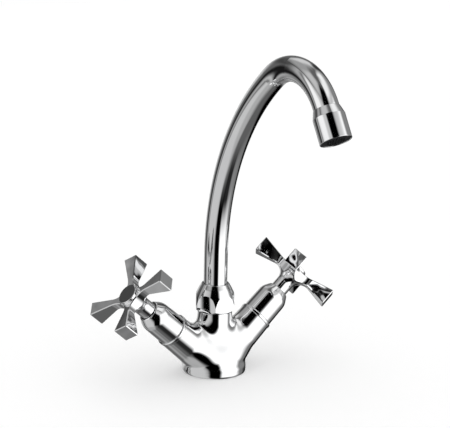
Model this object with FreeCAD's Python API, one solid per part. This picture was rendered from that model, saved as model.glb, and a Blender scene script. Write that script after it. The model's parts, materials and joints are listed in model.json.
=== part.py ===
import FreeCAD
import Part
import math
import os

# Two-handle deck mixer faucet with a swivelling swan-neck spout, as an assembly of separate pieces.
#
# Millimetres. +Z is up, the spout points along -Y at rest, and the two valve arms lie in the XZ
# plane, the hot one on -X and the cold one on +X. The origin is the centre of the base on the deck.
#
# Valve pieces are drawn in a valve frame: +Z runs outwards along the valve's axis, and its origin is
# the point where both valve axes cross. Outlet pieces are drawn in an outlet frame: +Z is the way the
# water leaves, and its origin is the end of the spout tube.

V = FreeCAD.Vector
ORIGIN = V(0, 0, 0)
X_AXIS, Y_AXIS, Z_AXIS = V(1, 0, 0), V(0, 1, 0), V(0, 0, 1)

# ---- driving dimensions ----
SLIP = 0.05  # radial gap of a sliding or turning fit, and of a thread
CLEAR = 0.3  # gap of two faces that only stand close

BASE_R = 25.5
WAIST_R = 23.3
WAIST_Z = 9.8
BOSS_R = 13.7  # upright boss under the spout nut
BOSS_TOP = 49.4
BLEND_TOP, BLEND_LOW = 5.0, 16.0  # casting fillet between the bell and an arm, in the saddle and underneath

TILT = 48.6  # angle of each valve axis from vertical, degrees
CROSS_Z = 4.0  # height at which both valve axes cross
ARM_R, ARM_ROOT_R = 13.6, 15.3  # at the mouth, and where the arm's cone starts
ARM_START, ARM_END = 3.0, 51.0

SEAT = 36.0  # valve seat inside the arm
POCKET_R = 10.5
FEED_R = 4.0
SPOUT_BORE_R = 10.0
SPOUT_BORE_FLOOR = 38.0
BOSS_THREAD_R = 13.1
BOSS_THREAD_TOP = 59.5

NUT_FLATS = 30.0
NUT_LOW, NUT_TOP = 50.0, 72.5

TUBE_R, TUBE_WALL = 9.4, 1.0
TUBE_START = 62.4
RISE_END = 94.8  # where the tube starts to bend
BENDS = ((192.2, 52.3), (42.3, 37.7), (44.9, 59.45))  # radius and angle: long sweep, crest, hook
TUBE_TAIL = 0.8

HOUSING_R = 11.7
HOUSING_SHOULDER = 6.45  # along the axis, from the tube's end to the full radius
HOUSING_END = 24.6

BONNET_TOP = 63.0
DISC_R = 7.2  # ceramic discs

RING_R, RING_TOP = 14.0, 53.9
SHROUD_LOW_R, SHROUD_R = 12.9, 12.5
SHROUD_LOW, SHROUD_TOP = 54.0, 81.6
SHROUD_MOUTH_R = 7.6

HANDLE_AT = 101.9  # middle plane of the cross
HANDLE_REACH = 35.75
CROSS_WIDE = 0.168  # half-width of a cross arm grows by this for each millimetre of radius
CROSS_DEEP = 0.176  # and its half-depth by this
CROSS_CORE_WIDE, CROSS_CORE_DEEP = 0.22, 0.75  # both, at the axis
CROSS_WEB = 12.0  # radius between two neighbouring arms
CROSS_FLARE = 9.0  # radius between the skirt and the arms
CROSS_BEVEL = 0.6
SKIRT_R = 7.1
HUB_R = 8.45
CAP_SEAM, CAP_FACE = 3.4, 4.8  # above the middle plane
REST_TURN = {"left_": -2.5, "right_": 0.0}  # how the splines let each closed handle stand, degrees

INLET_X, INLET_R, INLET_DEEP = 11.0, 4.5, 12.0  # M10 x 1 holes for the supply hoses
STUD_Y, STUD_R, STUD_DEEP = 14.5, 2.5, 12.0  # M6 holes for the fixing studs

os.makedirs("parts", exist_ok=True)


# ---- helpers ----
def outline(points):
    """Closed face in the XZ plane through (x, z[, rounding]) corners."""
    count = len(points)
    starts, middles, ends = [], [], []
    for i, point in enumerate(points):
        here = V(point[0], 0, point[1])
        rounding = point[2] if len(point) > 2 else 0
        if not rounding:
            starts.append(here)
            middles.append(None)
            ends.append(here)
            continue
        before, after = points[i - 1], points[(i + 1) % count]
        back = (V(before[0], 0, before[1]) - here).normalize()
        on = (V(after[0], 0, after[1]) - here).normalize()
        half = back.getAngle(on) / 2
        cut = rounding / math.tan(half)
        starts.append(here + back * cut)
        middles.append(here + (back + on).normalize() * (rounding / math.sin(half) - rounding))
        ends.append(here + on * cut)
    edges = []
    for i in range(count):
        if middles[i]:
            edges.append(Part.Arc(starts[i], middles[i], ends[i]).toShape())
        after = starts[(i + 1) % count]
        if ends[i].distanceToPoint(after) > 1e-6:
            edges.append(Part.LineSegment(ends[i], after).toShape())
    return Part.Face(Part.Wire(edges))


def turned(points):
    """Solid of revolution about Z from a closed (radius, height[, rounding]) outline."""
    return outline(points).revolve(ORIGIN, Z_AXIS, 360)


def ring(inner, outer, low, high, rounding=0.0):
    corners = ((inner, low), (outer, low), (outer, high), (inner, high))
    return turned([(radius, height, rounding) for radius, height in corners])


def disc(radius, low, high, x=0.0, y=0.0):
    return Part.makeCylinder(radius, high - low, V(x, y, low), Z_AXIS)


def block(x, y, z):
    """Box from three (low, high) pairs."""
    return Part.makeBox(x[1] - x[0], y[1] - y[0], z[1] - z[0], V(x[0], y[0], z[0]))


def o_ring(radius, section, height):
    return Part.makeTorus(radius, section, V(0, 0, height), Z_AXIS)


def flat_shape(points, low, high):
    """Prism along Z over (x, y) corners."""
    corners = [V(x, y, low) for x, y in points]
    return Part.Face(Part.makePolygon(corners + corners[:1])).extrude(V(0, 0, high - low))


def around(count, radius, start=0.0):
    """Corners of a regular polygon, the first at the start angle in degrees."""
    angles = [math.radians(start + 360 * i / count) for i in range(count)]
    return [(radius * math.cos(a), radius * math.sin(a)) for a in angles]


def hexagon(flats, low, high):
    """Hexagonal prism with a corner on +X."""
    return flat_shape(around(6, flats / math.sqrt(3)), low, high)


def turned_copy(shape, angle, axis=Z_AXIS):
    copy = shape.copy()
    copy.rotate(ORIGIN, axis, angle)
    return copy


def on_valve(shape, side):
    copy = turned_copy(shape, side * TILT, Y_AXIS)
    copy.translate(V(0, 0, CROSS_Z))
    return copy


def save(name, shape):
    if not shape.isValid() or not shape.Solids:
        raise ValueError(name + " is not a valid solid")
    shape.exportStep("parts/" + name + ".step")
    print(name, len(shape.Solids), "solid(s)", round(shape.Volume / 1000, 3), "cm3")


def save_pair(name, shape):
    """The same valve piece on the hot side and on the cold side."""
    for label, side in (("left_", -1), ("right_", 1)):
        save(label + name, on_valve(shape, side))


# ---- body ----
def bell():
    """Belly that narrows into the boss, with its seam at the back. It runs on below the deck."""
    poles = [
        (BOSS_R, BOSS_TOP),
        (BOSS_R, 40.0),
        (BOSS_R, 33.0),
        (BOSS_R + 0.6, 27.5),
        (BOSS_R + 3.0, 22.5),
        (BASE_R - 4.6, 17.0),
        (WAIST_R - 0.2, 12.0),
        (WAIST_R, 6.0),
        (WAIST_R, -20.0),
    ]
    curve = Part.BSplineCurve()
    curve.buildFromPoles([V(r, 0, z) for r, z in poles], False, 3)
    low, high = V(0, 0, poles[-1][1]), V(0, 0, poles[0][1])
    sides = [
        curve.toShape(),
        Part.LineSegment(V(WAIST_R, 0, low.z), low).toShape(),
        Part.LineSegment(low, high).toShape(),
        Part.LineSegment(high, V(BOSS_R, 0, high.z)).toShape(),
    ]
    solid = Part.Face(Part.Wire(sides)).revolve(ORIGIN, Z_AXIS, 360)
    return turned_copy(solid, 90)


def front_of_body():
    """Bell and both arms in front of the XZ plane, with a fillet that widens from saddle to underside."""
    behind = block((-60, 60), (0, 60), (-60, 60))
    arm = turned([(0, ARM_START), (ARM_ROOT_R, ARM_START), (ARM_R, ARM_END), (0, ARM_END)])
    arm = turned_copy(arm, 90)
    front = bell().fuse([on_valve(arm, side) for side in (-1, 1)]).cut(behind)
    for side in (-1, 1):
        joints = []
        for edge in front.Edges:
            box = edge.BoundBox
            crossing = edge.Curve.TypeId == "Part::GeomBSplineCurve" and box.ZMax < 40 and box.YLength > 5
            if crossing and side * edge.CenterOfMass.x > 0:
                joints.append(edge)
        starts_high = joints[0].valueAt(joints[0].FirstParameter).z > 25
        radii = (BLEND_TOP, BLEND_LOW) if starts_high else (BLEND_LOW, BLEND_TOP)
        front = front.makeFillet(radii[0], radii[1], joints)
    return front


def body_outside():
    front = front_of_body()
    upper = front.fuse(front.mirror(ORIGIN, Y_AXIS))
    upper = upper.cut(block((-60, 60), (-60, 60), (-60, WAIST_Z - 2.5)))
    foot = turned(
        [
            (0, 0),
            (BASE_R - 0.7, 0, 0.5),
            (BASE_R, 2.6, 2.5),
            (BASE_R - 0.2, 6.2, 2.5),
            (WAIST_R - 0.3, WAIST_Z, 1.0),
            (WAIST_R - 1.3, WAIST_Z + 1.0),
            (0, WAIST_Z + 1.0),
        ]
    )
    thread = disc(BOSS_THREAD_R, 40, BOSS_THREAD_TOP)
    rim = [edge for edge in thread.Edges if edge.BoundBox.ZMin > BOSS_THREAD_TOP - 1]
    thread = thread.makeChamfer(0.6, rim)
    return upper.fuse([foot, thread])


def waterways():
    """Every hollow of the casting."""
    pocket = disc(POCKET_R, SEAT, ARM_END + 1)
    groove = ring(8.0, POCKET_R, SEAT - 3.5, SEAT + 1)
    low, high = ARM_END - 0.5, ARM_END + 0.5
    mouth = turned([(0, low), (POCKET_R, low), (POCKET_R + 1.0, high), (0, high)])
    feed = disc(FEED_R, 16.5, SEAT + 1)
    hollows = []
    for side in (-1, 1):
        hollows += [on_valve(cut, side) for cut in (pocket, groove, mouth, feed)]
        hollows.append(disc(INLET_R, -1, INLET_DEEP, side * INLET_X))
        hollows.append(disc(FEED_R - 0.3, -1, 17.5, side * INLET_X))
        hollows.append(Part.makeCylinder(2.3, 20.5, V(0, 0, 34.3), V(side, 0, 0)))
        hollows.append(disc(STUD_R, -1, STUD_DEEP, 0, side * STUD_Y))
    hollows.append(disc(6.0, 30.0, SPOUT_BORE_FLOOR + 1))
    hollows.append(disc(SPOUT_BORE_R, SPOUT_BORE_FLOOR, BOSS_THREAD_TOP + 1))
    hollows.append(ring(21.0, 23.6, -1, 1.6))
    return hollows


save("body", body_outside().cut(waterways()))
save("base_gasket", ring(21.1, 23.5, 0.0, 1.6, 0.3))


# ---- spout nut, spout and its seals ----
def spout_nut():
    """Hexagon under a dome, bevelled below, bored for the boss thread and the spout's flange."""
    corner = NUT_FLATS / math.sqrt(3)
    form = turned(
        [
            (0, NUT_LOW),
            (corner - 3.6, NUT_LOW),
            (corner, NUT_LOW + 2.4),
            (corner + 0.1, NUT_LOW + 5.2, 8.0),
            (corner - 1.2, NUT_LOW + 12.5, 16.0),
            (12.9, NUT_TOP - 3.4, 12.0),
            (10.9, NUT_TOP, 0.7),
            (0, NUT_TOP),
        ]
    )
    nut = hexagon(NUT_FLATS, NUT_LOW, NUT_TOP).common(form)
    bore = disc(BOSS_THREAD_R + SLIP, NUT_LOW - 1, 60.0)
    shoulder = disc(12.6, 60.0, 64.1)
    hole = disc(TUBE_R + CLEAR, 64.1, NUT_TOP + 1)
    return nut.cut([bore, shoulder, hole])


def spigot():
    """Turned foot of the spout: plug with two seal grooves, flange, and a sleeve for the tube."""
    solid = turned(
        [
            (6.5, 39.0),
            (SPOUT_BORE_R - SLIP - 0.6, 39.0),
            (SPOUT_BORE_R - SLIP, 40.0),
            (SPOUT_BORE_R - SLIP, 59.6),
            (12.3, 59.6, 0.3),
            (12.3, TUBE_START, 0.3),
            (TUBE_R - TUBE_WALL, TUBE_START),
            (TUBE_R - TUBE_WALL, 71.5, 0.4),
            (6.5, 71.5),
        ]
    )
    return solid.cut([ring(8.2, 12.0, z - 1.0, z + 1.0) for z in (44.0, 51.0)])


def tube_path():
    """Centre line of the spout, from the spigot over all its bends, and the frame of its end."""
    top = V(0, 0, RISE_END)
    edges = [Part.LineSegment(V(0, 0, TUBE_START), top).toShape()]
    start, heading = top, 0.0
    for radius, angle in BENDS:
        points = []
        for share in (0.5, 1.0):
            turn = math.radians(heading + angle * share)
            base = math.radians(heading)
            along = radius * (math.cos(base) - math.cos(turn))
            rise = radius * (math.sin(turn) - math.sin(base))
            points.append(start + V(0, -along, rise))
        edges.append(Part.Arc(start, points[0], points[1]).toShape())
        start, heading = points[1], heading + angle
    way = V(0, -math.sin(math.radians(heading)), math.cos(math.radians(heading)))
    end = start + way * TUBE_TAIL
    edges.append(Part.LineSegment(start, end).toShape())
    return Part.Wire(edges), end, heading


PATH, OUTLET, OUTLET_TURN = tube_path()


def spout_tube():
    sections = []
    for radius in (TUBE_R, TUBE_R - TUBE_WALL):
        circle = Part.Wire(Part.makeCircle(radius, V(0, 0, TUBE_START), Z_AXIS))
        sections.append(PATH.makePipeShell([circle], True, True))
    return sections[0].cut(sections[1])


def at_outlet(shape):
    copy = turned_copy(shape, OUTLET_TURN, X_AXIS)
    copy.translate(OUTLET)
    return copy


save("spout_nut", spout_nut())
save("spout_spigot", spigot())
save("spigot_orings", Part.makeCompound([o_ring(9.1, 0.85, z) for z in (44.0, 51.0)]))
save("slip_ring", ring(TUBE_R + 0.1, 12.2, TUBE_START, 64.0, 0.2))
save("spout_tube", spout_tube())


def ferrule():
    """Tapered sleeve soldered in the tube's end, with a collar that carries the aerator's male thread."""
    return turned(
        [
            (7.2, -4.0, 0.2),
            (TUBE_R - TUBE_WALL - 0.3, -4.0, 0.2),
            (TUBE_R - TUBE_WALL, -0.7),
            (TUBE_R - TUBE_WALL, 0),
            (9.3, 0),
            (9.3, 6.8),
            (10.5, 6.8),
            (10.5, 13.4, 0.4),
            (7.2, 13.4),
        ]
    )


def housing():
    """Sleeve with a sloping shoulder, screwed over the ferrule and open below."""
    lip = HOUSING_END - 1.6
    return turned(
        [
            (9.4, 0.05),
            (TUBE_R + 0.35, 0.05, 0.3),
            (HOUSING_R, HOUSING_SHOULDER, 1.2),
            (HOUSING_R, HOUSING_END, 0.35),
            (HOUSING_R - 0.9, HOUSING_END, 0.35),
            (HOUSING_R - 1.15, lip),
            (HOUSING_R - 1.15, 6.75),
            (9.4, 6.75),
        ]
    )


def insert():
    """Jet regulator: a cup with a ring of slots above and a honeycomb grille below."""
    end = HOUSING_END - 0.2
    cup = ring(8.6, 10.4, 15.0, end).fuse(disc(10.4, 15.0, 16.4))
    slots = [turned_copy(disc(0.9, 14, 17, 6.6), 30 * i) for i in range(12)]
    slots += [turned_copy(disc(0.9, 14, 17, 3.4), 60 * i) for i in range(6)]
    grille = disc(8.6, end - 2.0, end)
    pitch, across = 2.2, 1.8
    cells = []
    for row in range(-4, 5):
        for column in range(-4, 5):
            x = pitch * (column + row / 2)
            y = pitch * row * math.sqrt(3) / 2
            if math.hypot(x, y) < 7.6:
                cell = flat_shape(around(6, across / math.sqrt(3), 30), end - 3, end + 1)
                cell.translate(V(x, y, 0))
                cells.append(cell)
    return cup.cut(slots).fuse(grille).cut(cells)


save("outlet_ferrule", at_outlet(ferrule()))
save("aerator_housing", at_outlet(housing()))
save("aerator_gasket", at_outlet(ring(7.4, 10.4, 13.4, 15.0)))
save("aerator_insert", at_outlet(insert()))
save("aerator_screens", at_outlet(Part.makeCompound([disc(8.5, z, z + 0.4) for z in (17.6, 19.4)])))


# ---- valve covers and headworks ----
def shroud():
    outer = [
        (SHROUD_LOW_R, SHROUD_LOW, 0.3),
        (SHROUD_R, 74.8, 12.0),
        (SHROUD_MOUTH_R + 1.0, SHROUD_TOP, 1.4),
    ]
    inner = [
        (SHROUD_MOUTH_R, SHROUD_TOP),
        (SHROUD_MOUTH_R, 79.6),
        (11.15, 74.0, 3.0),
        (11.15, 59.0),
        (11.3 + SLIP, 58.6),
        (11.3 + SLIP, SHROUD_LOW),
    ]
    return turned(outer + inner)


def collar_ring():
    return ring(11.8, RING_R, ARM_END, RING_TOP, 0.7)


def headwork_body():
    """Bonnet: nose round the discs with two side windows, thread, flange and hexagon."""
    shape = turned(
        [
            (DISC_R + 0.1, 37.2),
            (9.2, 37.2),
            (9.2, 44.6),
            (POCKET_R - SLIP, 45.0),
            (POCKET_R - SLIP, 50.0),
            (9.6, 50.2),
            (9.6, 51.8),
            (11.3, 51.8, 0.3),
            (11.3, 57.6, 0.3),
            (4.95, 57.6),
            (4.95, 46.5),
            (DISC_R + 0.1, 46.5),
        ]
    )
    upper = hexagon(19.0, 57.5, BONNET_TOP - 0.8).fuse(disc(8.0, BONNET_TOP - 1, BONNET_TOP))
    upper = upper.cut(disc(4.95, 57, 64))
    windows = [block((3, 12), (-3.2, 3.2), (41.4, 44.4))]
    windows.append(turned_copy(windows[0], 180))
    lugs = [block((6, 8.3), (-1.6, 1.6), (37, 41.1))]
    lugs.append(turned_copy(lugs[0], 180))
    turn = [turned_copy(cut, 90) for cut in lugs]
    return shape.fuse(upper).cut(windows + turn)


def ported_disc(low, high):
    """Ceramic disc with two opposite sector ports."""
    plate = disc(DISC_R, low, high)
    sector = ring(2.2, 6.0, low - 1, high + 1)
    wedge = flat_shape([(0, 0), (9, -6.5), (9, 6.5)], low - 1, high + 1)
    port = sector.common(wedge)
    return plate.cut([port, turned_copy(port, 180)])


def fixed_disc():
    lug = block((6.5, 8.1), (-1.4, 1.4), (38.2, 41.0))
    plate = ported_disc(38.2, 41.0)
    return plate.fuse([turned_copy(lug, 90), turned_copy(lug, 270)])


def moving_disc():
    plate = ported_disc(41.05, 43.6)
    slot = block((-1.55, 1.55), (-8, 8), (42.6, 44))
    return turned_copy(plate.cut(slot), 90)


def spindle():
    """Driver head with a tongue, barrel with two seal grooves, clip groove, and splined stem."""
    shaft = turned(
        [
            (0, 43.6),
            (DISC_R - 0.1, 43.6),
            (DISC_R - 0.1, 46.4),
            (4.9, 46.4),
            (4.9, 63.1),
            (3.7, 63.1),
            (3.7, 64.3),
            (4.9, 64.3),
            (4.9, 66.5, 0.5),
            (4.0, 66.5),
            (4.0, 80.0),
            (0, 80.0),
        ]
    )
    tongue = turned_copy(block((-1.5, 1.5), (-6.6, 6.6), (42.65, 44.0)), 90)
    flow = [disc(2.9, 43, 46.0, 0, y) for y in (-5.4, 5.4)]
    shaft = shaft.cut(flow).fuse(tongue)
    grooves = [ring(3.45, 6, z - 0.75, z + 0.75) for z in (52.0, 56.5)]
    teeth = []
    for i, (x, y) in enumerate(around(40, 1.0)):
        reach = 4.0 if i % 2 else 3.55
        teeth.append((x * reach, y * reach))
    spline = flat_shape(teeth, 80.0, 92.0)
    return shaft.cut(grooves).fuse(spline).cut(disc(1.65, 80.0, 93.0))


def retaining_clip():
    """Open ring in the spindle's groove, above the bonnet."""
    return ring(3.75, 6.2, 63.15, 64.15).cut(block((0, 8), (-1.2, 1.2), (62, 66)))


save_pair("collar_ring", collar_ring())
save_pair("shroud", shroud())
save_pair("headwork_body", headwork_body())
save_pair("bonnet_gasket", ring(9.7, 11.4, ARM_END, 51.8, 0.2))
save_pair("lip_seal", ring(4.4, 7.0, SEAT, 38.2, 0.3))
save_pair("fixed_disc", fixed_disc())
save_pair("moving_disc", moving_disc())
save_pair("spindle", spindle())
save_pair("spindle_orings", Part.makeCompound([o_ring(4.15, 0.7, z) for z in (52.0, 56.5)]))
save_pair("retaining_clip", retaining_clip())


# ---- handles ----
def cross_plan(low, high):
    """Plan of the four tapering arms, standing in an X, with a wide radius between neighbours."""
    tip_wide = CROSS_CORE_WIDE + CROSS_WIDE * HANDLE_REACH
    root = CROSS_CORE_WIDE / (1 - CROSS_WIDE)
    corners = []
    for quarter in range(4):
        turn = math.radians(45 + 90 * quarter)
        for along, across in ((root, -root), (HANDLE_REACH, -tip_wide), (HANDLE_REACH, tip_wide)):
            x = along * math.cos(turn) - across * math.sin(turn)
            y = along * math.sin(turn) + across * math.cos(turn)
            corners.append((x, y))
    plan = flat_shape(corners, low, high)
    creases = []
    for edge in plan.Edges:
        middle = edge.CenterOfMass
        if abs(edge.Length - (high - low)) < 1e-6 and math.hypot(middle.x, middle.y) < 2:
            creases.append(edge)
    return plan.makeFillet(CROSS_WEB, creases)


def handle():
    """Skirt and cross in one casting: a turned envelope cut to the cross plan, with bevelled edges."""

    def depth(radius):
        return CROSS_CORE_DEEP + CROSS_DEEP * radius

    far = HANDLE_REACH * 1.2
    envelope = turned(
        [
            (0, 76.0),
            (SKIRT_R, 76.0, 0.3),
            (SKIRT_R, HANDLE_AT - depth(SKIRT_R), CROSS_FLARE),
            (far, HANDLE_AT - depth(far)),
            (far, HANDLE_AT + depth(far)),
            (HUB_R, HANDLE_AT + depth(HUB_R), 0.5),
            (HUB_R, HANDLE_AT + CAP_SEAM),
            (0, HANDLE_AT + CAP_SEAM),
        ]
    )
    solid = turned_copy(envelope, 45).common(cross_plan(70.0, 115.0))
    edges = []
    for edge in solid.Edges:
        middle = edge.CenterOfMass
        if edge.Curve.TypeId != "Part::GeomCircle" and math.hypot(middle.x, middle.y) > HUB_R + 0.1:
            edges.append(edge)
    solid = solid.makeChamfer(CROSS_BEVEL, edges)
    socket = [disc(6.0, 75, 83.0), disc(4.05, 82, 92.5), disc(2.2, 92, 98), disc(6.0, 97.0, 110)]
    return solid.cut(socket)


def index_cap():
    """Plain button, clipped into the hub over the screw."""
    return turned(
        [
            (0, HANDLE_AT + 1.4),
            (5.95, HANDLE_AT + 1.4, 0.3),
            (5.95, HANDLE_AT + CAP_SEAM),
            (HUB_R, HANDLE_AT + CAP_SEAM),
            (HUB_R, HANDLE_AT + CAP_FACE, 0.6),
            (0, HANDLE_AT + CAP_FACE),
        ]
    )


def handle_screw():
    """Pan head screw with a hexagon socket."""
    outer = [(0, 84.0), (1.6, 84.0, 0.3), (1.6, 97.0), (3.8, 97.0), (3.8, 99.6, 0.8), (0, 99.6)]
    solid = turned(outer)
    return solid.cut(hexagon(2.5, 98.0, 100.0))


for label, side in (("left_", -1), ("right_", 1)):
    save(label + "handle", on_valve(turned_copy(handle(), REST_TURN[label]), side))
save_pair("index_cap", index_cap())
save_pair("handle_screw", handle_screw())
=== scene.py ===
import json
import math

import bmesh
import bpy
import numpy as np
from mathutils import Matrix, Vector


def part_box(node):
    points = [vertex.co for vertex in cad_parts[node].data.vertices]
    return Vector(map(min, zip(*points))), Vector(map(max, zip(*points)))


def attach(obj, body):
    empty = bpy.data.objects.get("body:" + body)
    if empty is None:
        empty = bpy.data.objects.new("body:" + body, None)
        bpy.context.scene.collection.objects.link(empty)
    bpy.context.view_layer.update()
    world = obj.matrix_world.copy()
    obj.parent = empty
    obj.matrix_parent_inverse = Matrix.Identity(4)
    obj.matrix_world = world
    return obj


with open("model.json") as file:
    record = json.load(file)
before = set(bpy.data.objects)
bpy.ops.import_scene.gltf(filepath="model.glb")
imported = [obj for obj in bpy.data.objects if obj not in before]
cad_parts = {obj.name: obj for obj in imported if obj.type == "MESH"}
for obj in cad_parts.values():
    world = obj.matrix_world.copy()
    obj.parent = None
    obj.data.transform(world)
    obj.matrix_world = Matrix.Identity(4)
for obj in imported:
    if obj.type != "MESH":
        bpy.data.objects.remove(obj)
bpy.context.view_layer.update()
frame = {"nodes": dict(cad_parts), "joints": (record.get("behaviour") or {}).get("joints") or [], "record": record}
nodes = frame["nodes"]

# ---------------------------------------------------------------- camera
CAMERA_AZIMUTH = -32.604      # degrees, 0 looks along +Y
CAMERA_ELEVATION = 13.286
CAMERA_ROLL = 1.187
CAMERA_DISTANCE = 1.16783     # metres, from the point that it looks at
LOOK_ACROSS = 0.00653         # that point, to the right of the frame's origin
LOOK_UP = 0.125319            # and above it
LENS = 115.59


def camera_axes():
    """Right, up and backward directions of the camera, and its place."""
    azimuth = math.radians(CAMERA_AZIMUTH)
    elevation = math.radians(CAMERA_ELEVATION)
    roll = math.radians(CAMERA_ROLL)
    back = Vector((math.sin(azimuth) * math.cos(elevation),
                   -math.cos(azimuth) * math.cos(elevation),
                   math.sin(elevation)))
    right = Vector((math.cos(azimuth), math.sin(azimuth), 0))
    up = back.cross(right)
    across = right * math.cos(roll) + up * math.sin(roll)
    upright = up * math.cos(roll) - right * math.sin(roll)
    place = right * LOOK_ACROSS + up * LOOK_UP + back * CAMERA_DISTANCE
    return across, upright, back, place


def add_camera():
    across, upright, back, place = camera_axes()
    data = bpy.data.cameras.new("camera")
    data.lens = LENS
    data.sensor_width = 36
    data.clip_start = 0.01
    data.clip_end = 50
    camera = bpy.data.objects.new("camera", data)
    bpy.context.scene.collection.objects.link(camera)
    rotation = Matrix((across, upright, back)).transposed()
    camera.matrix_world = Matrix.Translation(place) @ rotation.to_4x4()
    bpy.context.scene.camera = camera


# ---------------------------------------------------------------- studio
# Soft boxes and flags that the chrome reflects: bearing from the camera (degrees, to its right),
# height above the horizon, half width, half height, softness of the sides, softness of the top
# and bottom, brightness. Later ones lie on top.
STUDIO = [
    ("floor_left", -72, -50, 62, 28, 16, 12, 0.44),
    ("left_wall", -62, -8, 42, 43, 16, 6, 0.60),
    ("left_box", -72, 12, 20, 12, 8, 6, 0.98),
    ("back_left", -172, -12, 30, 22, 12, 9, 0.64),
    ("left_high", -105, 55, 80, 17, 14, 8, 0.34),
    ("back_high", -174, 48, 26, 12, 12, 8, 0.66),
    ("left_top", -68, 54, 26, 14, 12, 8, 0.56),
    ("left_seam", -96, -10, 3, 40, 4, 10, 0.16),
    ("left_slot", -118, 33, 50, 2, 12, 3, 0.06),
    ("left_corner", -136, 25, 22, 6, 8, 5, 0.06),
    ("left_edge", -114, -22, 6, 36, 5, 12, 0.01),
    ("right_gap", 92, 44, 60, 12, 12, 8, 0.34),
    ("right_high", 88, 65, 56, 15, 14, 10, 0.95),
    ("right_side", 118, -8, 18, 42, 8, 12, 0.20),
    ("right_low", 65, -40, 40, 14, 12, 10, 0.24),
    ("right_shade", 40, -47, 26, 14, 10, 8, 0.02),
    ("right_wall", 62, 5, 36, 34, 13, 12, 1.35),
    ("right_back", 128, 14, 22, 20, 8, 8, 0.24),
    ("back_centre", -178, -30, 9, 30, 5, 12, 0.22),
    ("back_line", 157, 10, 7, 40, 5, 10, 0.04),
    ("back_right", 149, -40, 20, 24, 9, 10, 0.0),
    ("flag_top", -4, 44, 27, 24, 5, 8, 0.0),
    ("flag", 6, -4, 21, 40, 6, 10, 0.0),
]
BASE_LIGHT = 0.12             # between them
ROOM_LIGHT = 1.0              # everywhere, for all that isn't a reflection

FLOOR_HALF = 3.0
FLOOR_WHITE = 0.9
FLOOR_ROUGH = 0.9
FLOOR_GLOW = 0.12


class Nodes:
    """Short calls for building a shader out of math nodes."""

    def __init__(self, tree):
        self.tree = tree

    def add(self, kind, **values):
        node = self.tree.nodes.new(kind)
        for name, value in values.items():
            setattr(node, name, value)
        return node

    def link(self, a, b):
        self.tree.links.new(a, b)

    def math(self, operation, *inputs):
        node = self.add("ShaderNodeMath", operation=operation)
        for k, value in enumerate(inputs):
            if isinstance(value, (int, float)):
                node.inputs[k].default_value = value
            else:
                self.link(value, node.inputs[k])
        return node.outputs[0]

    def spread(self, value, start, end, low, high):
        """low at start, high at end, smooth between and level outside."""
        node = self.add("ShaderNodeMapRange", interpolation_type="SMOOTHSTEP")
        self.link(value, node.inputs["Value"])
        limits = {"From Min": start, "From Max": end, "To Min": low, "To Max": high}
        for name, limit in limits.items():
            node.inputs[name].default_value = limit
        return node.outputs["Result"]

    def patch(self, offset, half, soft):
        """1 where the offset is within half, fading to 0 over the soft edge."""
        return self.spread(self.math("ABSOLUTE", offset), half - soft, half + soft, 1, 0)

    def mix(self, factor, a, b):
        """a where factor is 0, b where it is 1."""
        return self.math("ADD", self.math("MULTIPLY", self.math("SUBTRACT", 1.0, factor), a),
                         self.math("MULTIPLY", factor, b))


def studio_light(n):
    """Brightness of the studio by direction, as a shader value."""
    split = n.add("ShaderNodeSeparateXYZ")
    n.link(n.add("ShaderNodeTexCoord").outputs["Generated"], split.inputs[0])
    x, y, z = split.outputs
    degrees = math.degrees(1)
    azimuth = math.radians(CAMERA_AZIMUTH)
    camera_bearing = math.degrees(math.atan2(-math.cos(azimuth), math.sin(azimuth)))
    bearing = n.math("SUBTRACT", n.math("MULTIPLY", n.math("ARCTAN2", y, x), degrees), camera_bearing)
    height = n.math("MULTIPLY", n.math("ARCSINE", z), degrees)
    light = BASE_LIGHT
    for _, at, up, wide, high, side_soft, top_soft, bright in STUDIO:
        across = n.math("WRAP", n.math("SUBTRACT", bearing, at), 180.0, -180.0)
        upward = n.math("SUBTRACT", height, up)
        mask = n.math("MULTIPLY", n.patch(across, wide, side_soft), n.patch(upward, high, top_soft))
        light = n.mix(mask, light, bright)
    return light


def add_world():
    world = bpy.data.worlds.new("studio")
    bpy.context.scene.world = world
    world.use_nodes = True
    tree = world.node_tree
    tree.nodes.clear()
    n = Nodes(tree)
    reflected = n.add("ShaderNodeLightPath").outputs["Is Glossy Ray"]
    background = n.add("ShaderNodeBackground")
    background.inputs["Color"].default_value = (1, 1, 1, 1)
    n.link(n.mix(reflected, ROOM_LIGHT, studio_light(n)), background.inputs["Strength"])
    output = n.add("ShaderNodeOutputWorld")
    n.link(background.outputs[0], output.inputs["Surface"])


def add_floor():
    mesh = bpy.data.meshes.new("floor")
    corners = [(-1, -1), (1, -1), (1, 1), (-1, 1)]
    mesh.from_pydata([(x * FLOOR_HALF, y * FLOOR_HALF, 0) for x, y in corners], [], [(0, 1, 2, 3)])
    floor = bpy.data.objects.new("floor", mesh)
    bpy.context.scene.collection.objects.link(floor)
    floor.visible_glossy = False
    material, _, shader = new_material("floor_paint")
    shader.inputs["Base Color"].default_value = (FLOOR_WHITE, FLOOR_WHITE, FLOOR_WHITE, 1)
    shader.inputs["Roughness"].default_value = FLOOR_ROUGH
    shader.inputs["Specular IOR Level"].default_value = 0.0
    shader.inputs["Emission Color"].default_value = (1, 1, 1, 1)
    shader.inputs["Emission Strength"].default_value = FLOOR_GLOW
    mesh.materials.append(material)


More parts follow.
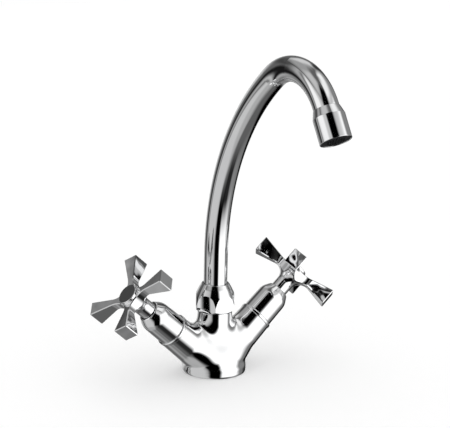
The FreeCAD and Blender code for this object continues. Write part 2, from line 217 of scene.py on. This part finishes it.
# ---------------------------------------------------------------- finishes
# Sizes and depths are in metres.
SMUDGE_SIZE = 0.014           # where fingers and drops have dulled the plating
SMUDGE_DARK, SMUDGE_LIGHT = (0.86, 0.865, 0.875), (0.92, 0.922, 0.925)
POLISH_SIZE = 0.0006          # finest marks of the polish
POLISH_ROUGH = 0.012
TARNISH_SIZE = 0.006
WIRE_PITCH = 0.0009           # two wires of the woven mesh
# The holes' colour is painted shade, for the dark inside that would show through them; the wires keep their own
# grey.
WIRE_HOLE_SHADE, WIRE_LIGHT = (0.01, 0.01, 0.011), (0.5, 0.5, 0.52)
WIRE_EDGE = (0.55, 0.85)      # from hole to wire, in the height of the weave
WIRE_ROUGH = (0.25, 0.45)
WIRE_SPECK = 0.002
WIRE_DEPTH = 0.0001
NOISE_MIDDLE = (0.35, 0.65)   # where most of a noise's values lie


def new_material(name):
    material = bpy.data.materials.new(name)
    material.use_nodes = True
    tree = material.node_tree
    return material, Nodes(tree), tree.nodes["Principled BSDF"]


def noise(n, size, detail=3.0, stretch=(1, 1, 1)):
    """Noise whose features are about size metres across, squeezed along any stretched axis."""
    place = n.add("ShaderNodeMapping")
    place.inputs["Scale"].default_value = stretch
    n.link(n.add("ShaderNodeTexCoord").outputs["Object"], place.inputs["Vector"])
    node = n.add("ShaderNodeTexNoise")
    node.inputs["Scale"].default_value = 1 / size
    node.inputs["Detail"].default_value = detail
    n.link(place.outputs["Vector"], node.inputs["Vector"])
    return node.outputs["Fac"]


def vary(n, value, low, high):
    """The middle of a noise's range becomes low to high."""
    return n.spread(value, *NOISE_MIDDLE, low, high)


def tint(n, value, dark, light):
    ramp = n.add("ShaderNodeValToRGB")
    ramp.color_ramp.elements[0].color = (*dark, 1)
    ramp.color_ramp.elements[1].color = (*light, 1)
    n.link(value, ramp.inputs["Fac"])
    return ramp.outputs["Color"]


def bump(n, shader, height, depth):
    node = n.add("ShaderNodeBump")
    node.inputs["Strength"].default_value = 1
    node.inputs["Distance"].default_value = depth
    n.link(height, node.inputs["Height"])
    n.link(node.outputs["Normal"], shader.inputs["Normal"])


def chrome(name, wave, depth, haze):
    """Bright plating: wave is the size of the faint ripple that polishing leaves."""
    material, n, shader = new_material(name)
    shader.inputs["Metallic"].default_value = 1
    smudge = noise(n, SMUDGE_SIZE, 4)
    fine = noise(n, POLISH_SIZE, 2)
    rough = n.math("ADD", vary(n, smudge, POLISH_ROUGH, haze), vary(n, fine, 0.0, POLISH_ROUGH))
    n.link(rough, shader.inputs["Roughness"])
    n.link(tint(n, smudge, SMUDGE_DARK, SMUDGE_LIGHT), shader.inputs["Base Color"])
    bump(n, shader, noise(n, wave, 1), depth)
    return material


def metal(name, dark, light, rough, grain, depth, stretch):
    """Machined metal with tool marks and tarnish."""
    material, n, shader = new_material(name)
    shader.inputs["Metallic"].default_value = 1
    n.link(tint(n, noise(n, TARNISH_SIZE, 5), dark, light), shader.inputs["Base Color"])
    marks = noise(n, grain, 3, stretch)
    n.link(vary(n, marks, *rough), shader.inputs["Roughness"])
    bump(n, shader, marks, depth)
    return material


def moulded(name, dark, light, rough, grain, depth, coat=0.0):
    """Plastic, rubber or ceramic with a fine surface grain."""
    material, n, shader = new_material(name)
    speck = noise(n, grain, 4)
    n.link(tint(n, speck, dark, light), shader.inputs["Base Color"])
    n.link(vary(n, noise(n, grain * 6, 3), *rough), shader.inputs["Roughness"])
    shader.inputs["Coat Weight"].default_value = coat
    bump(n, shader, speck, depth)
    return material


def woven_mesh(name):
    """Fine woven wire: two sets of wires, with painted shade in the holes between them."""
    material, n, shader = new_material(name)
    shader.inputs["Metallic"].default_value = 0.9
    where = n.add("ShaderNodeSeparateXYZ")
    n.link(n.add("ShaderNodeTexCoord").outputs["Object"], where.inputs[0])
    wires = []
    for axis in (0, 1):
        turns = n.math("MULTIPLY", where.outputs[axis], 2 * math.pi / WIRE_PITCH)
        wires.append(n.math("ABSOLUTE", n.math("SINE", turns)))
    weave = n.math("MAXIMUM", wires[0], wires[1])
    wire = n.spread(weave, *WIRE_EDGE, 0, 1)
    # Painted shade in the holes, the wires' own colour on the wires.
    n.link(tint(n, wire, WIRE_HOLE_SHADE, WIRE_LIGHT), shader.inputs["Base Color"])
    n.link(vary(n, noise(n, WIRE_SPECK), *WIRE_ROUGH), shader.inputs["Roughness"])
    bump(n, shader, weave, WIRE_DEPTH)
    return material


FINISH = {
    "chrome": chrome("chrome", wave=0.016, depth=0.00003, haze=0.035),
    "chrome_tube": chrome("chrome_tube", wave=0.022, depth=0.00002, haze=0.035),
    "chrome_trim": chrome("chrome_trim", wave=0.010, depth=0.00001, haze=0.03),
    "chrome_handle": chrome("chrome_handle", wave=0.014, depth=0.0003, haze=0.04),
    "brass": metal("brass", (0.42, 0.27, 0.09), (0.80, 0.60, 0.27), rough=(0.18, 0.42),
                   grain=0.0012, depth=0.00003, stretch=(1, 1, 6)),
    "steel": metal("steel", (0.40, 0.40, 0.41), (0.62, 0.62, 0.63), rough=(0.16, 0.38),
                   grain=0.0008, depth=0.00002, stretch=(1, 1, 5)),
    "rubber": moulded("rubber", (0.010, 0.010, 0.011), (0.028, 0.028, 0.030), rough=(0.45, 0.7),
                      grain=0.0007, depth=0.00004),
    "acetal": moulded("acetal", (0.66, 0.65, 0.60), (0.80, 0.79, 0.74), rough=(0.28, 0.45),
                      grain=0.0009, depth=0.00002),
    "ceramic": moulded("ceramic", (0.72, 0.67, 0.60), (0.86, 0.82, 0.76), rough=(0.10, 0.22),
                       grain=0.0005, depth=0.00001, coat=0.4),
    "dark_plastic": moulded("dark_plastic", (0.006, 0.006, 0.007), (0.022, 0.022, 0.024),
                            rough=(0.3, 0.5), grain=0.0008, depth=0.00003),
    "steel_mesh": woven_mesh("steel_mesh"),
}


def finish_nodes():
    slot_of = {part["node"]: part["material_slot"] for part in frame["record"]["subparts"]}
    for name, node in nodes.items():
        node.data.materials.clear()
        node.data.materials.append(FINISH[slot_of[name]])


# ---------------------------------------------------------------- body skin
# The body is one soft casting: arms, boss, belly and foot run into each other without a line.
# This surface lies up to 3.6 mm outside the CAD body. Millimetres, in the row frame.
MM = 0.001
valve = next(joint for joint in frame["joints"] if joint["name"] == "right_handle_turn")
TILT = math.atan2(valve["axis"][0], valve["axis"][2])
CROSS_Z = valve["pos_m"][2] / MM
NUT_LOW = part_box("spout_nut")[0].z / MM

SKIN_LIFT = 0.06              # outside all the shapes below
SKIN_LOW = 0.3
NUT_GAP = 0.64                # from the skin's top edge up to the spout nut
SKIN_TOP = NUT_LOW - NUT_GAP
SKIN_END = 51.8               # along each valve axis, under the collar ring
SKIN_CENTRE = (0.0, 0.0, 21.0)
SKIN_FAR = 90.0               # farther from the centre than any of it
SKIN_DIVISIONS = 130          # along each side of the cube that its faces come from
SKIN_HALVINGS = 36

BOSS_R, WAIST_R = 13.75, 23.35
WAIST_Z, WAIST_RISE = 9.5, 22.0         # the belly's depth runs from the waist up to the boss
BELLY_LOW, BELLY_SPREAD = 19.2, 14.0    # its half width where the axes cross, and what it gains
BELLY_RISE = 11.0                       # in about this height
CLOSE_START, CLOSE_RISE = 8.0, 28.0     # where its width closes in on its depth
LEAST_SLOPE = 1e-4
ARM_R, ARM_TAPER = 15.3, 1.7
ARM_START, ARM_LENGTH = 3.0, 48.0       # the taper, along the valve axis
ARM_OVERRUN = 1.2                       # it goes on past the arm's mouth by this ratio
SADDLE_BLEND = 12.5                     # between the top of an arm and the boss
SADDLE_START, SADDLE_RISE = 7.0, 12.0   # heights over which that blend comes in
SADDLE_END, SADDLE_FADE = 51.0, 8.0     # and the last of the arm, where it goes out
UNDER_START, UNDER_DROP = 6.0, 18.0     # from an arm's top side to its underside
CHIN_BLEND, CHIN_EXTRA = 5.0, 7.0       # between an arm's underside and the belly
CHIN_DEPTH, CHIN_RISE = 18.0, 20.0      # where that extra comes in
LEAST_BLEND = 0.5
FOOT_R, FOOT_ROUND = 25.6, 4.2
FOOT_Z, FOOT_FLAT = 3.2, 1.3            # middle of the foot's rim, and half its straight height
FOOT_BLEND = 3.0


def smooth(t):
    t = np.clip(t, 0, 1)
    return t * t * (3 - 2 * t)


def smooth_union(a, b, reach):
    near = np.maximum(reach - np.abs(a - b), 0) / reach
    return np.minimum(a, b) - near * near * reach / 4


def belly(x, y, z):
    """Boss and belly: an oval whose width and depth change with height."""
    deep = BOSS_R + (WAIST_R - BOSS_R) * smooth((WAIST_Z + WAIST_RISE - z) / WAIST_RISE)
    wide = BELLY_LOW + BELLY_SPREAD * (1 - np.exp((CROSS_Z - z) / BELLY_RISE))
    wide += (deep - wide) * smooth((z - CLOSE_START) / CLOSE_RISE)
    ratio = np.hypot(x / wide, y / deep)
    slope = np.hypot(x / wide ** 2, y / deep ** 2)
    return (ratio - 1) * ratio / np.maximum(slope, LEAST_SLOPE)


def arm(x, y, z, side):
    """One valve arm, and how far it blends into the belly."""
    along = side * x * math.sin(TILT) + (z - CROSS_Z) * math.cos(TILT)
    above = (z - CROSS_Z) * math.sin(TILT) - side * x * math.cos(TILT)
    radius = ARM_R - ARM_TAPER * np.clip((along - ARM_START) / ARM_LENGTH, 0, ARM_OVERRUN)
    shape = np.maximum(np.hypot(above, y) - radius, -along)
    under = smooth((UNDER_START - above) / UNDER_DROP)
    over = SADDLE_BLEND * smooth((SADDLE_END - along) / SADDLE_FADE)
    over *= smooth((z - SADDLE_START) / SADDLE_RISE)
    chin = CHIN_BLEND + CHIN_EXTRA * smooth((above + CHIN_DEPTH) / CHIN_RISE)
    return shape, np.maximum(over * (1 - under) + under * chin, LEAST_BLEND)


def foot(x, y, z):
    """Disc with a rounded rim."""
    rim = np.stack([np.hypot(x, y) - (FOOT_R - FOOT_ROUND), np.abs(z - FOOT_Z) - FOOT_FLAT], -1)
    return np.linalg.norm(np.maximum(rim, 0), axis=1) + np.minimum(rim.max(1), 0) - FOOT_ROUND


def casting(points):
    """Signed distance, roughly, to the outside of the body."""
    x, y, z = points.T
    shape = belly(x, y, z)
    for side in (-1, 1):
        branch, reach = arm(x, y, z, side)
        shape = smooth_union(shape, branch, reach)
    return smooth_union(shape, foot(x, y, z), FOOT_BLEND) - SKIN_LIFT


def ball_faces():
    """Quads of a cube blown up into a ball, as unit directions and corner numbers."""
    steps = np.tan(np.linspace(-math.pi / 4, math.pi / 4, SKIN_DIVISIONS + 1))
    across, upward = np.meshgrid(steps, steps, indexing="ij")
    count = SKIN_DIVISIONS + 1
    corner = np.arange(count * count).reshape(count, count)
    quads = np.stack([corner[:-1, :-1], corner[1:, :-1], corner[1:, 1:], corner[:-1, 1:]], -1)
    directions, faces = [], []
    for axis in range(3):
        for sign in (-1, 1):
            parts = [None, None, None]
            parts[axis] = np.full_like(across, sign)
            parts[(axis + 1) % 3] = across * sign
            parts[(axis + 2) % 3] = upward
            faces.append(quads.reshape(-1, 4) + len(directions) * count * count)
            directions.append(np.stack(parts, -1).reshape(-1, 3))
    directions = np.concatenate(directions)
    directions /= np.linalg.norm(directions, axis=1, keepdims=True)
    return directions, np.concatenate(faces)


def skin_points(directions):
    """Where each ray from the centre leaves the casting."""
    centre = np.array(SKIN_CENTRE)
    near = np.zeros(len(directions))
    far = np.full(len(directions), SKIN_FAR)
    for _ in range(SKIN_HALVINGS):
        middle = (near + far) / 2
        outside = casting(centre + directions * middle[:, None]) > 0
        far = np.where(outside, middle, far)
        near = np.where(outside, near, middle)
    return centre + directions * ((near + far) / 2)[:, None]


def skin_cuts():
    """Planes that end the skin at the deck, the nut and both collar rings: a point and outward."""
    cuts = [((0, 0, SKIN_LOW), (0, 0, -1)), ((0, 0, SKIN_TOP), (0, 0, 1))]
    for side in (-1, 1):
        axis = Vector((side * math.sin(TILT), 0, math.cos(TILT)))
        cuts.append((Vector((0, 0, CROSS_Z)) + axis * SKIN_END, axis))
    return cuts


def add_body_skin():
    directions, faces = ball_faces()
    points = skin_points(directions)
    x, y, z = points.T
    along = np.abs(x) * math.sin(TILT) + (z - CROSS_Z) * math.cos(TILT)
    shown = (z > SKIN_LOW) & (z < SKIN_TOP) & (along < SKIN_END)
    faces = faces[shown[faces].any(1)]
    mesh = bpy.data.meshes.new("body_skin")
    mesh.from_pydata((points * MM).tolist(), [], faces.tolist())
    mesh.validate()
    clean = bmesh.new()
    clean.from_mesh(mesh)
    bmesh.ops.remove_doubles(clean, verts=clean.verts, dist=1e-7)
    bmesh.ops.delete(clean, geom=[v for v in clean.verts if not v.link_faces], context="VERTS")
    for place, outward in skin_cuts():
        geom = clean.verts[:] + clean.edges[:] + clean.faces[:]
        bmesh.ops.bisect_plane(clean, geom=geom, plane_co=Vector(place) * MM, plane_no=outward,
                               clear_outer=True)
    bmesh.ops.recalc_face_normals(clean, faces=clean.faces)
    clean.to_mesh(mesh)
    clean.free()
    mesh.shade_smooth()
    mesh.materials.append(FINISH["chrome"])
    skin = bpy.data.objects.new("body_skin", mesh)
    bpy.context.scene.collection.objects.link(skin)
    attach(skin, "root")


add_camera()
add_world()
add_floor()
finish_nodes()
add_body_skin()
bpy.context.scene.view_settings.view_transform = "Standard"
